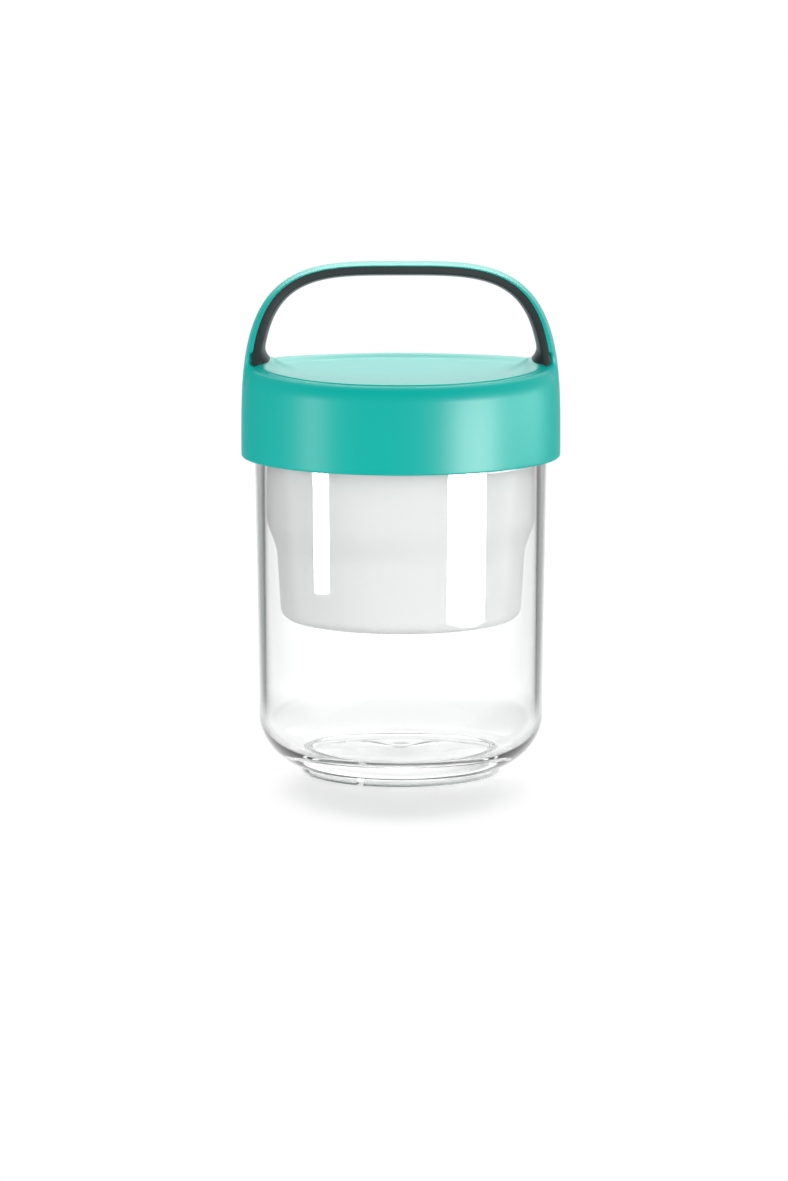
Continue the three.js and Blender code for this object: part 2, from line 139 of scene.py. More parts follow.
class LidSizes(bpy.types.PropertyGroup):
    """Sizes of the lid, its closure ring and its handle"""

    sides: count("Sides", "Sides of the lid", 360)
    radius: length("Radius", "Outside radius at the skirt's edge", 49.9)
    edge: length("Skirt's edge", "Height of the skirt's lower edge", 99.8)
    inner: length("Inner radius", "Radius of the hollow inside the lid", 48.3)
    hollow: length("Hollow top", "Height of the hollow's top", 123.4)
    chamfer: length("Chamfer", "Slope inside the lid's upper corner", 2.4)
    arch: length("Arch height", "From the skirt's edge to the top of the handle", 60.6)
    width_power: power("Width power", "Roundness of the outline across", 3.66)
    height_power: power("Height power", "Roundness of the outline upwards", 3.57)
    shoulder: length("Shoulder", "Height where the wall starts to round in", 121.45)
    lip: length("Lip radius", "Outside radius of the lip round the top", 45.3)
    lip_top: length("Lip top", "Height of the lip at the front and back", 127.0)
    lip_step: length("Lip step", "Small step round the outside of the lip", 0.35)
    lip_width: length("Lip width", "Width of the lip's top", 0.9)
    slope: length("Slope", "Width of the slope from the lip to the floor", 5.5)
    floor: length("Recessed floor", "Height of the recessed top", 125.8)
    lip_rise: length("Lip rise", "How much higher the lip is at the handle", 1.65)
    pad: length("Pad height", "Height of the top under the grip", 130.4)
    pad_width: length("Pad half-width", "Half-width of the raised top under the grip", 17.0)
    pad_end: length("Pad end", "Distance from the centre to the pad's flat part", 39.9)
    pad_blend: length("Pad blend", "Length of the curve from the pad down to the floor", 9.0)
    strap_top: length("Strap half-width", "Half-width of the handle at its top", 7.2)
    strap_foot: length("Strap foot half-width", "Half-width of the handle at its feet", 10.5)
    strap_start: length("Strap start", "Height of the strap's hidden start in the wall", 116.8)
    strap_sink: length("Strap sink", "How far the hidden start lies under the wall", 0.3)
    core: length("Core", "Depth of the strap's stiff core", 2.5)
    core_inset: length("Core inset", "How much narrower the core is on each side", 2.0)
    edge_top: length("Edge at the top", "Thickness of the strap's edge at the top", 0.25)
    edge_foot: length("Edge at the foot", "Thickness of the strap's edge at the feet", 1.15)
    grip_face: length("Grip face", "Width of the grip's front face", 2.2)
    grip_crown: length("Grip crown", "Bulge of the grip's inner face", 1.3)
    grip_corner: length("Grip corner", "Radius of the lower outer corner of the grip's front face", 1.5)
    grip_foot: length("Grip foot", "Height of that corner's lowest point", 129.0)
    flare: length("Flare", "Spread of the grip's inner face at its feet", 4.35)
    flare_height: length("Flare height", "Height over which the grip spreads", 6.0)
    bond: length("Bond", "Visible line between the strap and the grip", 0.06)
    blend: length("Blend", "Radius over which the handle's feet run into the lid", 3.6)
    liner_low: length("Closure ring underside", "Height of the closure ring's lower edge", 101.2)
    liner_inner: length("Closure ring inner radius", "Inner radius of the closure ring", 46.4)
    liner_outer: length("Closure ring outer radius", "Outer radius of the closure ring", 48.0)
    land_low: length("Land underside", "Height of the underside of the flat ring over the seal", 121.5)
    land_top: length("Land top", "Height of the closure ring's top", 123.1)
    land_inner: length("Land inner radius", "Inner radius of the flat ring", 39.6)
    lid_lug: length("Lid lug radius", "Inner radius of the lid's lugs", 45.25)
    lid_lug_top: length("Lid lug top", "Height of the top of the lid's lugs", 107.3)
    lid_lug_arc: angle("Lid lug arc", "Stretch of the ring that each lug covers", 34)


class Finishes(bpy.types.PropertyGroup):
    """Colours of the materials"""

    turquoise: colour("Turquoise", "Colour of the lid and handle", (0.0, 0.58, 0.505))
    grey: colour("Dark grey", "Colour of the soft grip", (0.022, 0.031, 0.033))
    clear: colour("Clear", "Tint of the clear jar", (0.985, 0.99, 0.988))
    # painted shade: the colour the clear jar is darkened to where its wall is seen edge-on
    edge_on_painted_shade: colour("Clear edge", "Tint of the clear jar where it is seen edge-on", (0.34, 0.38, 0.375))
    milky: colour("Milky", "Colour of the cup", (0.96, 0.975, 0.97))
    silicone: colour("Silicone", "Colour of the seals", (0.78, 0.80, 0.80))
    white: colour("White", "Colour of the closure ring", (0.82, 0.84, 0.83))


# Building blocks for node trees


def set_inputs(tree, node, inputs):
    """Sets a node's inputs to values or to other nodes' outputs."""
    for key, value in inputs.items():
        if isinstance(value, bpy.types.NodeSocket):
            tree.links.new(value, node.inputs[key])
        else:
            node.inputs[key].default_value = value


def add_node(tree, kind, inputs=None, **settings):
    """A new node with its settings and inputs."""
    node = tree.nodes.new(kind)
    for name, value in settings.items():
        setattr(node, name, value)
    set_inputs(tree, node, inputs or {})
    return node


def arithmetic(tree, operation, *values):
    """The result of one operation on numbers."""
    return add_node(tree, "ShaderNodeMath", dict(enumerate(values)), operation=operation).outputs[0]


def total(tree, first, second):
    """The sum of two numbers."""
    return arithmetic(tree, "ADD", first, second)


def product(tree, first, second):
    """The product of two numbers."""
    return arithmetic(tree, "MULTIPLY", first, second)


def multiply_add(tree, first, second, third):
    """The first number times the second, plus the third."""
    return arithmetic(tree, "MULTIPLY_ADD", first, second, third)


def less(tree, first, second):
    """The first number less the second."""
    return arithmetic(tree, "SUBTRACT", first, second)


def larger(tree, first, second):
    """The larger of two numbers."""
    return arithmetic(tree, "MAXIMUM", first, second)


def on_vectors(tree, operation, *values, output="Vector"):
    """The result of one operation on vectors."""
    inputs = dict(enumerate(values))
    return add_node(tree, "ShaderNodeVectorMath", inputs, operation=operation).outputs[output]


def scaled(tree, vector, factor):
    """A vector times a number."""
    inputs = {"Vector": vector, "Scale": factor}
    return add_node(tree, "ShaderNodeVectorMath", inputs, operation="SCALE").outputs[0]


def along(tree, vector, direction):
    """How far a vector goes in a direction."""
    return on_vectors(tree, "DOT_PRODUCT", vector, direction, output="Value")


def size_of(tree, vector):
    """The length of a vector."""
    return on_vectors(tree, "LENGTH", vector, output="Value")


def ramped(tree, value, start, end, low=0.0, high=1.0, kind="SMOOTHSTEP"):
    """Runs from low to high while the value runs from start to end, and stays level outside them."""
    inputs = {"Value": value, "From Min": start, "From Max": end, "To Min": low, "To Max": high}
    return add_node(tree, "ShaderNodeMapRange", inputs, interpolation_type=kind).outputs[0]


def levelled(tree, vector):
    """A vector without its upward part."""
    return on_vectors(tree, "MULTIPLY", vector, (1.0, 1.0, 0.0))


def unit(tree, vector):
    """A vector of length 1 in the same direction."""
    return on_vectors(tree, "NORMALIZE", vector)


def object_place(tree):
    """The place on a piece that is shaded."""
    return tree.nodes.new("ShaderNodeTexCoord").outputs["Object"]


def sample(tree, geometry, value, index, kind="FLOAT_VECTOR"):
    """The value that one point of a geometry has."""
    inputs = {"Geometry": geometry, "Value": value, "Index": index}
    return add_node(tree, "GeometryNodeSampleIndex", inputs, data_type=kind).outputs[0]


def carried(tree, geometry, name, index, kind="FLOAT_VECTOR"):
    """A named value that one point of a geometry carries."""
    value = add_node(tree, "GeometryNodeInputNamedAttribute", {"Name": name}, data_type=kind).outputs[0]
    return sample(tree, geometry, value, index, kind)


def start_tree(name, inputs):
    """A new geometry tree and its group input, with a geometry socket first."""
    tree = bpy.data.node_groups.new(name, "GeometryNodeTree")
    tree.is_modifier = True
    tree.interface.new_socket("Geometry", in_out="INPUT", socket_type="NodeSocketGeometry")
    tree.interface.new_socket("Geometry", in_out="OUTPUT", socket_type="NodeSocketGeometry")
    for label, kind in {**inputs, "Material": "Material"}.items():
        tree.interface.new_socket(label, in_out="INPUT", socket_type="NodeSocket" + kind)
    return tree, tree.nodes.new("NodeGroupInput").outputs


def end_tree(tree, geometry, material):
    """Realizes what the tree made, gives it its material and passes it out."""
    real = add_node(tree, "GeometryNodeRealizeInstances", {"Geometry": geometry}).outputs[0]
    dressed = add_node(tree, "GeometryNodeSetMaterial", {"Geometry": real, "Material": material}).outputs[0]
    tree.links.new(dressed, tree.nodes.new("NodeGroupOutput").inputs[0])
    return tree


def point_count(tree, geometry):
    """How many points a geometry has."""
    inputs = {"Geometry": geometry}
    return add_node(tree, "GeometryNodeAttributeDomainSize", inputs).outputs["Point Count"]


def grid_rows(tree, columns, rows):
    """A grid of points, and the column and row number of each."""
    sizes = {"Size X": 1.0, "Size Y": 1.0, "Vertices X": columns, "Vertices Y": rows}
    grid = add_node(tree, "GeometryNodeMeshGrid", sizes).outputs["Mesh"]
    index = tree.nodes.new("GeometryNodeInputIndex").outputs[0]
    middle = total(tree, index, 0.5)
    column = arithmetic(tree, "FLOOR", arithmetic(tree, "DIVIDE", middle, rows))
    row = less(tree, index, product(tree, column, rows))
    return grid, column, row


def placed_and_welded(tree, grid, position):
    """The grid's points at their places, with its seams and poles closed."""
    placed = add_node(tree, "GeometryNodeSetPosition", {"Geometry": grid, "Position": position}).outputs[0]
    return add_node(tree, "GeometryNodeMergeByDistance", {"Geometry": placed, "Distance": WELD}).outputs[0]


def turned_tree():
    """Turns a profile of points about Z."""
    tree, given = start_tree("Turned piece", {"Sides": "Int"})
    points = point_count(tree, given["Geometry"])
    grid, column, row = grid_rows(tree, total(tree, given["Sides"], 1.0), points)
    place = tree.nodes.new("GeometryNodeInputPosition").outputs[0]
    profile = sample(tree, given["Geometry"], place, row)
    turn = arithmetic(tree, "DIVIDE", product(tree, column, FULL_TURN), given["Sides"])
    inputs = {"Vector": profile, "Angle": turn}
    position = add_node(tree, "ShaderNodeVectorRotate", inputs, rotation_type="Z_AXIS").outputs[0]
    return end_tree(tree, placed_and_welded(tree, grid, position), given["Material"])


def round_tree():
    """Repeats a piece round Z."""
    tree, given = start_tree("Round the axis", {"Count": "Int", "Start": "Float"})
    line = {"Count": given["Count"], "Offset": (0.0, 0.0, 0.0)}
    points = add_node(tree, "GeometryNodeMeshLine", line).outputs[0]
    index = tree.nodes.new("GeometryNodeInputIndex").outputs[0]
    step = arithmetic(tree, "DIVIDE", FULL_TURN, given["Count"])
    turn = multiply_add(tree, index, step, given["Start"])
    rotation = add_node(tree, "ShaderNodeCombineXYZ", {"Z": turn}).outputs[0]
    inputs = {"Points": points, "Instance": given["Geometry"], "Rotation": rotation}
    instances = add_node(tree, "GeometryNodeInstanceOnPoints", inputs).outputs[0]
    return end_tree(tree, instances, given["Material"])


def arch_tree():
    """Sweeps a closed section along the arch: the section's sizes change with the path's own points."""
    tree, given = start_tree("Along the arch", {"Section": "Object"})
    path = given["Geometry"]
    section = add_node(tree, "GeometryNodeObjectInfo", {"Object": given["Section"]}).outputs["Geometry"]
    corners = point_count(tree, section)
    grid, step, row = grid_rows(tree, point_count(tree, path), total(tree, corners, 1.0))
    corner = arithmetic(tree, "MODULO", row, corners)
    place = tree.nodes.new("GeometryNodeInputPosition").outputs[0]
    spine = sample(tree, path, place, step)
    outward = carried(tree, path, "outward", step)
    depths = carried(tree, path, "depths", step)
    half = carried(tree, path, "half", step, "FLOAT")
    crown = carried(tree, path, "crown", step, "FLOAT")
    point = sample(tree, section, place, corner)
    weights = carried(tree, section, "weights", corner)
    bulge = carried(tree, section, "bulge", corner, "FLOAT")
    parts = add_node(tree, "ShaderNodeSeparateXYZ", {0: point}).outputs
    side = multiply_add(tree, parts[0], half, parts[1])
    depth = multiply_add(tree, bulge, crown, along(tree, weights, depths))
    inward = scaled(tree, outward, total(tree, depth, parts[2]))
    across = add_node(tree, "ShaderNodeCombineXYZ", {"Y": side}).outputs[0]
    position = on_vectors(tree, "SUBTRACT", on_vectors(tree, "ADD", spine, across), inward)
    return end_tree(tree, placed_and_welded(tree, grid, position), given["Material"])


# Meshes


def object_of(name, mesh):
    """A new object in the scene, made of a mesh or a lamp."""
    made = bpy.data.objects.new(name, mesh)
    bpy.context.scene.collection.objects.link(made)
    return made


def points_object(name, points, **carried):
    """An object of loose points that carry named values."""
    mesh = bpy.data.meshes.new(name)
    mesh.from_pydata([tuple(p) for p in points], [], [])
    for label, values in carried.items():
        values = np.asarray(values, float)
        if values.ndim == 2:
            mesh.attributes.new(label, "FLOAT_VECTOR", "POINT").data.foreach_set("vector", values.ravel())
        else:
            mesh.attributes.new(label, "FLOAT", "POINT").data.foreach_set("value", values)
    return object_of(name, mesh)


def grown(source, tree, name, material, **settings):
    """Runs a tree on a source object and keeps the result as a plain object. The source goes."""
    modifier = source.modifiers.new(tree.name, "NODES")
    modifier.node_group = tree
    for socket in tree.interface.items_tree:
        if socket.in_out == "INPUT" and socket.name in settings:
            modifier[socket.identifier] = settings[socket.name]
        if socket.in_out == "INPUT" and socket.name == "Material":
            modifier[socket.identifier] = material
    graph = bpy.context.evaluated_depsgraph_get()
    mesh = bpy.data.meshes.new_from_object(source.evaluated_get(graph))
    mesh.name = name
    bpy.data.objects.remove(source)
    return object_of(name, mesh)


def turned(name, profile, material, sides):
    """A piece turned about Z from points of radius and height, up the outside and down the inside."""
    source = points_object(name + "_profile", [(r, 0, z) for r, z in profile])
    return grown(source, TREES["turned"], name, material, Sides=sides)


def turned_solid(name, profile, material, sides):
    """A turned piece whose faces are set to point outwards."""
    piece = turned(name, profile, material, sides)
    face_outwards(piece.data)
    return piece


def combine(piece, tool, operation):
    """Joins or cuts a closed piece with another, which goes."""
    modifier = piece.modifiers.new(operation, "BOOLEAN")
    modifier.operation = operation
    modifier.solver = "MANIFOLD"
    modifier.object = tool
    graph = bpy.context.evaluated_depsgraph_get()
    mesh = bpy.data.meshes.new_from_object(piece.evaluated_get(graph))
    piece.modifiers.clear()
    if not mesh.polygons:
        raise RuntimeError(f"{operation} left nothing of {piece.name}")
    old = piece.data
    mesh.name = old.name
    piece.data = mesh
    bpy.data.meshes.remove(old)
    bpy.data.objects.remove(tool)


def finished(piece, material, body, node):
    """The last steps of every piece: its look, its body and the node that it stands for."""
    mesh = piece.data
    mesh.materials.clear()
    mesh.materials.append(material)
    mesh.polygons.foreach_set("material_index", [0] * len(mesh.polygons))
    mesh.polygons.foreach_set("use_smooth", [True] * len(mesh.polygons))
    mesh.set_sharp_from_angle(angle=SMOOTH_ANGLE)
    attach(piece, body)
    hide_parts(node)


def arc(centre_r, centre_z, across, up, start, end, steps):
    """Profile points on an elliptical arc between two angles in degrees."""
    turns = [math.radians(start + (end - start) * i / steps) for i in range(steps + 1)]
    return [(centre_r + across * math.cos(t), centre_z + up * math.sin(t)) for t in turns]


def rounded(r, z, radius, start, end, steps):
    """Profile points that round off the corner at a point, between two angles of one quarter turn."""
    middle = math.radians((start + end) / 2)
    centre_r = r - math.copysign(radius, math.cos(middle))
    centre_z = z - math.copysign(radius, math.sin(middle))
    return arc(centre_r, centre_z, radius, radius, start, end, steps)


def eased(first, last, steps):
    """Profile points on a soft S-shaped run between two points, both ends included."""
    (r0, z0), (r1, z1) = first, last
    shares = [i / steps for i in range(steps + 1)]
    return [(r0 + (r1 - r0) * (1 - math.cos(math.pi * s)) / 2, z0 + (z1 - z0) * s) for s in shares]


def straight(first, last, steps):
    """Profile points on a straight run, both ends included."""
    (r0, z0), (r1, z1) = first, last
    return [(r0 + (r1 - r0) * i / steps, z0 + (z1 - z0) * i / steps) for i in range(steps + 1)]


def sector(inner, outer, low, high, arc_width, steps):
    """A closed stretch of ring about the X direction with softened ends."""
    mesh = bpy.data.meshes.new("lug")
    soft = (outer - inner) * LUG_SOFT_SHARE
    rings = []
    for i in range(steps + 1):
        turn = -arc_width / 2 + arc_width * i / steps
        reach = outer - soft if i in (0, steps) else outer
        corners = [(inner, low), (reach - soft, low), (reach, low + soft)]
        corners += [(reach, high - soft), (reach - soft, high), (inner, high)]
        rings.append([(r * math.cos(turn), r * math.sin(turn), z) for r, z in corners])
    size = len(rings[0])
    faces = [list(range(size))[::-1], [steps * size + j for j in range(size)]]
    for i in range(steps):
        for j in range(size):
            k = (j + 1) % size
            faces.append([i * size + j, i * size + k, (i + 1) * size + k, (i + 1) * size + j])
    mesh.from_pydata([p for ring in rings for p in ring], [], faces)
    face_outwards(mesh)
    return object_of("lug", mesh)


def face_outwards(mesh):
    """Welds a mesh, fills its open ends and turns its faces outwards."""
    shell = bmesh.new()
    shell.from_mesh(mesh)
    bmesh.ops.remove_doubles(shell, verts=shell.verts, dist=WELD)
    open_edges = [e for e in shell.edges if e.is_boundary]
    bmesh.ops.holes_fill(shell, edges=open_edges, sides=0)
    bmesh.ops.recalc_face_normals(shell, faces=shell.faces)
    if shell.calc_volume(signed=True) < 0:
        bmesh.ops.reverse_faces(shell, faces=shell.faces)
    shell.to_mesh(mesh)
    shell.free()


def with_lugs(piece, sizes, number, start, material, operation="UNION"):
    """Joins lugs to a piece, or cuts their shape from it, at even steps round Z."""
    lugs = grown(sector(*sizes), TREES["round"], "lugs", material, Count=number, Start=start)
    combine(piece, lugs, operation)


# The lid's outline, shared by its wall and its handle


FINE_STEPS = 20001  # points at which the arch is measured before it is cut into even steps
ARCH_STEPS = 320
CROWN_POINTS = 25  # across the handle
SINK_START = 0.6 * MM  # above the lid's shoulder, where the strap starts to sink into the wall
ROUND_SHARE = 0.3  # of a soft edge's radius, where its middle point lies
SAG, EDGE, FACE, NO_DEPTH = (1, 0, 0), (0, 1, 0), (0, 0, 1), (0, 0, 0)  # the depth that a corner follows


def outline_radius(lid, height):
    """Half-width of the lid and handle at a height."""
    up = (height - lid.edge) / lid.arch
    return lid.radius * (1 - up**lid.height_power) ** (1 / lid.width_power)


def smooth_step(value):
    """A soft ramp from 0 to 1."""
    value = np.clip(value, 0, 1)
    return value * value * (3 - 2 * value)


def lid_cap(lid, material, lift, name):
    """The lid's outside, filled in: its lip rises to the handle and its floor curves up to two pads."""
    top = lid.shoulder - lid.edge
    round_edge = 0.6 * MM
    walls = straight((0, round_edge), (0, top), 24)
    walls = [(outline_radius(lid, lid.edge + z), lid.edge + z) for _, z in walls][:-1]
    shoulder = outline_radius(lid, lid.shoulder)
    slope_start = (lid.lip - lid.lip_width, lid.lip_top)
    slope_end = (lid.lip - lid.lip_width - lid.slope, lid.floor)
    bead = 0.25 * MM
    profile = [(0, lid.edge)]
    profile += straight((lid.inner - MM, lid.edge), (lid.radius - round_edge, lid.edge), 1)
    profile += rounded(lid.radius, lid.edge, round_edge, -75, -15, 4)
    profile += walls
    rise = lid.lip_top - lid.lip_step - lid.shoulder
    profile += arc(lid.lip, lid.shoulder, shoulder - lid.lip, rise, 0, 90, 20)
    profile += rounded(lid.lip, lid.lip_top, bead, 0, 90, 3)
    profile += [(r, z) for z, r in eased(slope_start[::-1], slope_end[::-1], 12)]
    floor_shares = [*np.arange(0.97, 0.69, -0.03), 0.6, 0.45, 0.25, 0]
    profile += [(slope_end[0] * s, lid.floor) for s in floor_shares]
    cap = turned(name, profile, material, lid.sides)
    raise_top(lid, cap.data, lift)
    return cap


def raise_top(lid, mesh, lift):
    """Raises the lip and the pads, and lifts the whole top a little for a cutting copy."""
    co = np.empty(len(mesh.vertices) * 3)
    mesh.vertices.foreach_get("co", co)
    co = co.reshape(-1, 3)
    across, beside, z = np.abs(co[:, 0]), np.abs(co[:, 1]), co[:, 2]
    radius = np.hypot(across, beside)
    amount = np.clip((z - lid.shoulder) / (lid.floor - lid.shoulder), 0, 1)
    lip = lid.lip_rise * (across / lid.lip) ** 3
    onto_pad = np.clip((across - lid.pad_end + lid.pad_blend) / lid.pad_blend, 0, 1)
    fade = np.clip(beside / lid.pad_width, 0, 1)
    inside = smooth_step((lid.radius - radius) / (lid.radius - lid.lip))
    pad = np.maximum(0, lid.pad - z - lip) * inside
    co[:, 2] += amount * (lip + pad * onto_pad**2 * (1 - fade**2) ** 2 + lift)
    mesh.vertices.foreach_set("co", co.ravel())
    mesh.update()


def arch_path(lid, steps):
    """Points of the handle's ridge, evenly spaced, with the outward direction at each."""
    start = math.asin(((lid.strap_start - lid.edge) / lid.arch) ** (lid.height_power / 2))
    turns = np.linspace(start, math.pi - start, FINE_STEPS)
    cosine = np.cos(turns)
    x = -lid.radius * np.abs(cosine) ** (2 / lid.width_power) * np.sign(cosine)
    z = lid.edge + lid.arch * np.sin(turns) ** (2 / lid.height_power)
    run = np.concatenate([[0], np.cumsum(np.hypot(np.diff(x), np.diff(z)))])
    even = np.linspace(0, run[-1], steps + 1)
    x, z = np.interp(even, run, x), np.interp(even, run, z)
    x, z = (x - x[::-1]) / 2, (z + z[::-1]) / 2
    dx, dz = np.gradient(x), np.gradient(z)
    size = np.hypot(dx, dz)
    flat = np.zeros_like(x)
    return np.stack([x, flat, z], 1), np.stack([-dz / size, flat, dx / size], 1)


def arch_values(lid, points):
    """What the handle's section does along the arch: half-width, depths and the grip's bulge."""
    z = points[:, 2]
    pad = lid.pad
    down = np.clip(1 - (z - pad) / (lid.edge + lid.arch - pad), 0, 1)
    half = lid.strap_top + (lid.strap_foot - lid.strap_top) * smooth_step(down)
    sag = half**2 / (2 * lid.radius)
    edge = sag + lid.edge_top + (lid.edge_foot - lid.edge_top) * np.sin(down * math.pi / 2)
    flare = lid.flare * np.clip((pad + lid.flare_height - z) / lid.flare_height, 0, 1) ** 3
    face = edge + lid.grip_face
    crown = lid.grip_crown + flare
    below = np.clip((lid.grip_foot + lid.grip_corner - z) / lid.grip_corner, 0, 1)
    edge = edge + lid.grip_corner * (1 - np.sqrt(1 - below**2))
    return {"half": half, "depths": np.stack([sag, edge, face], 1), "crown": crown}


def swept(lid, name, corners, material, sink):
    """A piece that follows the arch.

    Each corner is (share of the half-width, shift sideways, own depth, depth that it follows, bulge).
    """
    points, outward = arch_path(lid, ARCH_STEPS)
    values = arch_values(lid, points)
    hidden = smooth_step((lid.shoulder + SINK_START - points[:, 2]) / (lid.shoulder - lid.strap_start))
    points = points - outward * (sink * hidden)[:, None]
    path = points_object(name + "_path", points, outward=outward, **values)
    shares, shifts, depths, weights, bulge = zip(*corners)
    section = points_object(name + "_section", zip(shares, shifts, depths), weights=weights, bulge=bulge)
    made = grown(path, TREES["arch"], name, material, Section=section)
    bpy.data.objects.remove(section)
    face_outwards(made.data)
    return made


def mirrored(corners):
    """The same corners on the other side, in the opposite order."""
    return [(-share, -shift, *rest) for share, shift, *rest in reversed(corners)]


def strap_corners(lid):
    """The strap's section: crowned outside with soft edges, and a core that the grip wraps."""
    soft = 0.12 * MM
    edge = [(1, 0, soft, SAG, 0), (1, -soft, 0, SAG, 0)]
    crown = [(s, 0, 0, (s * s, 0, 0), 0) for s in np.linspace(1, -1, CROWN_POINTS)[1:-1]]
    inset = lid.core_inset
    core = [(-1, 0, 0, EDGE, 0), (-1, inset, 0, EDGE, 0), (-1, inset, lid.core, NO_DEPTH, 0)]
    return edge + crown + mirrored(edge) + core + mirrored(core)


def grip_corners(lid):
    """The grip's section: a channel for the core, flat front and back faces and a crowned inner face."""
    soft, step, bond = 0.35 * MM, 0.1 * MM, lid.bond
    middle = soft * ROUND_SHARE
    inset = lid.core_inset - bond
    channel = [(1, -step, bond, EDGE, 0), (1, -inset, bond, EDGE, 0)]
    channel += [(1, -inset, lid.core + bond, NO_DEPTH, 0)]
    side = [(-1, 0, bond + step, EDGE, 0), (-1, 0, -soft, FACE, 0)]
    side += [(-1, middle, -middle, FACE, 0), (-1, soft, 0, FACE, 0)]
    inner = [(s, 0, 0, FACE, 1 - s * s) for s in np.linspace(-1, 1, CROWN_POINTS)[1:-1]]
    return channel + mirrored(channel) + side + inner + mirrored(side)


FEET_START_SHARE = 0.74  # of the lid's radius, outside which the creases at the handle's feet lie
BLEND_START_SHARE = 0.7  # of the lid's radius, outside which the surface may move
GRIP_SIDE_SHARE = 0.7  # of the core's inset, inside which the surface behind the grip stays
CREASE_ANGLE = math.radians(14)
CREASE_REACH = 1.5 * MM  # from the handle's side to a crease at most
FEET_REACH = 3 * MM  # above and below the pads and the shoulder
BLEND_ROUNDS = 60
BLEND_STEP = 0.6


def feet_creases(lid, shell):
    """The points of the inner corners where the handle's sides meet the lid."""
    creases = set()
    for edge in shell.edges:
        if len(edge.link_faces) != 2 or edge.is_convex or edge.calc_face_angle(0) <= CREASE_ANGLE:
            continue
        places = [vert.co for vert in edge.verts]
        outside = all(abs(p.x) > FEET_START_SHARE * lid.radius for p in places)
        level = all(lid.shoulder - MM < p.z < lid.pad + FEET_REACH for p in places)
        if outside and level and abs(abs(places[0].y) - lid.strap_foot) < CREASE_REACH:
            creases.update(edge.verts)
    return creases


def blend_weights(lid, shell):
    """How freely each point moves: fully at a crease, and less up to the blend's radius."""
    creases = feet_creases(lid, shell)
    weights = np.zeros(len(shell.verts))
    if not creases:
        return weights
    tree = KDTree(len(creases))
    for i, vert in enumerate(creases):
        tree.insert(vert.co, i)
    tree.balance()
    shell.verts.ensure_lookup_table()
    for vert in shell.verts:
        x, y, z = vert.co
        outer = abs(x) > BLEND_START_SHARE * lid.radius and z > lid.shoulder - FEET_REACH
        inside = abs(y) < lid.strap_foot - lid.core_inset * GRIP_SIDE_SHARE
        behind_grip = inside and z > lid.pad - FEET_REACH
        if outer and not behind_grip:
            weights[vert.index] = float(smooth_step(1 - tree.find(vert.co)[2] / lid.blend))
    return weights


def blend_feet(lid, piece):
    """Rounds the inner corners where the handle's sides run into the lid."""
    shell = bmesh.new()
    shell.from_mesh(piece.data)
    bmesh.ops.remove_doubles(shell, verts=shell.verts, dist=WELD * 5)
    weights = blend_weights(lid, shell)
    edges = np.array([[e.verts[0].index, e.verts[1].index] for e in shell.edges])
    co = np.array([v.co[:] for v in shell.verts])
    degree = np.bincount(edges.ravel(), minlength=len(co))[:, None]
    for _ in range(BLEND_ROUNDS):
        sums = np.zeros_like(co)
        np.add.at(sums, edges[:, 0], co[edges[:, 1]])
        np.add.at(sums, edges[:, 1], co[edges[:, 0]])
        co += weights[:, None] * BLEND_STEP * (sums / degree - co)
    for vert, place in zip(shell.verts, co):
        vert.co = Vector(place)
    shell.to_mesh(piece.data)
    shell.free()


# Materials


def new_material(name):
    """A material and its Principled shader."""
    material = bpy.data.materials.new(name)
    material.use_nodes = True
    return material, material.node_tree, material.node_tree.nodes["Principled BSDF"]


def rgba(value):
    """A colour with full alpha."""
    return (*value, 1.0)


GRAIN_DEPTH = 0.02 * MM
EDGE_START = 0.15  # from here on, as the clear wall turns edge-on, its painted shade starts to darken it
EDGE_PAINTED_SHADE = ((0.5, 0.1), (0.6, 0.11), (0.66, 0.36), (0.74, 0.95))  # how far turned, and how dark the painted edge-on shade gets
OUTER_WALL = (43.4 * MM, 44.2 * MM)  # radii over which that painted shade fades in
PAINTED_CONTACT_SHADE = (0.3 * MM, 0.8 * MM)  # heights over which the painted shade along the foot's underside fades out
DIMPLE = (2.2 * MM, 3 * MM)  # radii over which the dimple's painted shade fades out
DIMPLE_SHADE = 0.25


def fine_grain(tree, shader, scale, strength):
    """A very fine moulded grain in the surface."""
    inputs = {"Vector": object_place(tree), "Scale": scale, "Detail": 2.0}
    grain = add_node(tree, "ShaderNodeTexNoise", inputs).outputs[0]
    inputs = {"Strength": strength, "Distance": GRAIN_DEPTH, "Height": grain}
    set_inputs(tree, shader, {"Normal": add_node(tree, "ShaderNodeBump", inputs).outputs[0]})


def varied_colour(tree, shader, base, scale, change):
    """A base colour that varies very slightly over the piece."""
    inputs = {"Vector": object_place(tree), "Scale": scale, "Detail": 3.0}
    cloud = add_node(tree, "ShaderNodeTexNoise", inputs).outputs[0]
    ramp = add_node(tree, "ShaderNodeValToRGB", {0: cloud})
    ramp.color_ramp.elements[0].color = rgba([c * (1 - change) for c in base])
    ramp.color_ramp.elements[1].color = rgba([min(1, c * (1 + change)) for c in base])
    set_inputs(tree, shader, {"Base Color": ramp.outputs[0]})


def moulded(name, base, look, clouds, change, grain, strength):
    """A moulded material: clouds are the scale of the changes in its colour, grain that of its surface."""
    material, tree, shader = new_material(name)
    varied_colour(tree, shader, base, clouds, change)
    set_inputs(tree, shader, look)
    fine_grain(tree, shader, grain, strength)
    return material


def satin_turquoise(finishes):
    """Satin moulded plastic of the lid and the handle."""
    look = {"Roughness": 0.4, "Specular IOR Level": 0.15}
    surface = {"clouds": 40.0, "change": 0.02, "grain": 2500.0, "strength": 0.25}
    return moulded("satin_turquoise", finishes.turquoise, look, **surface)


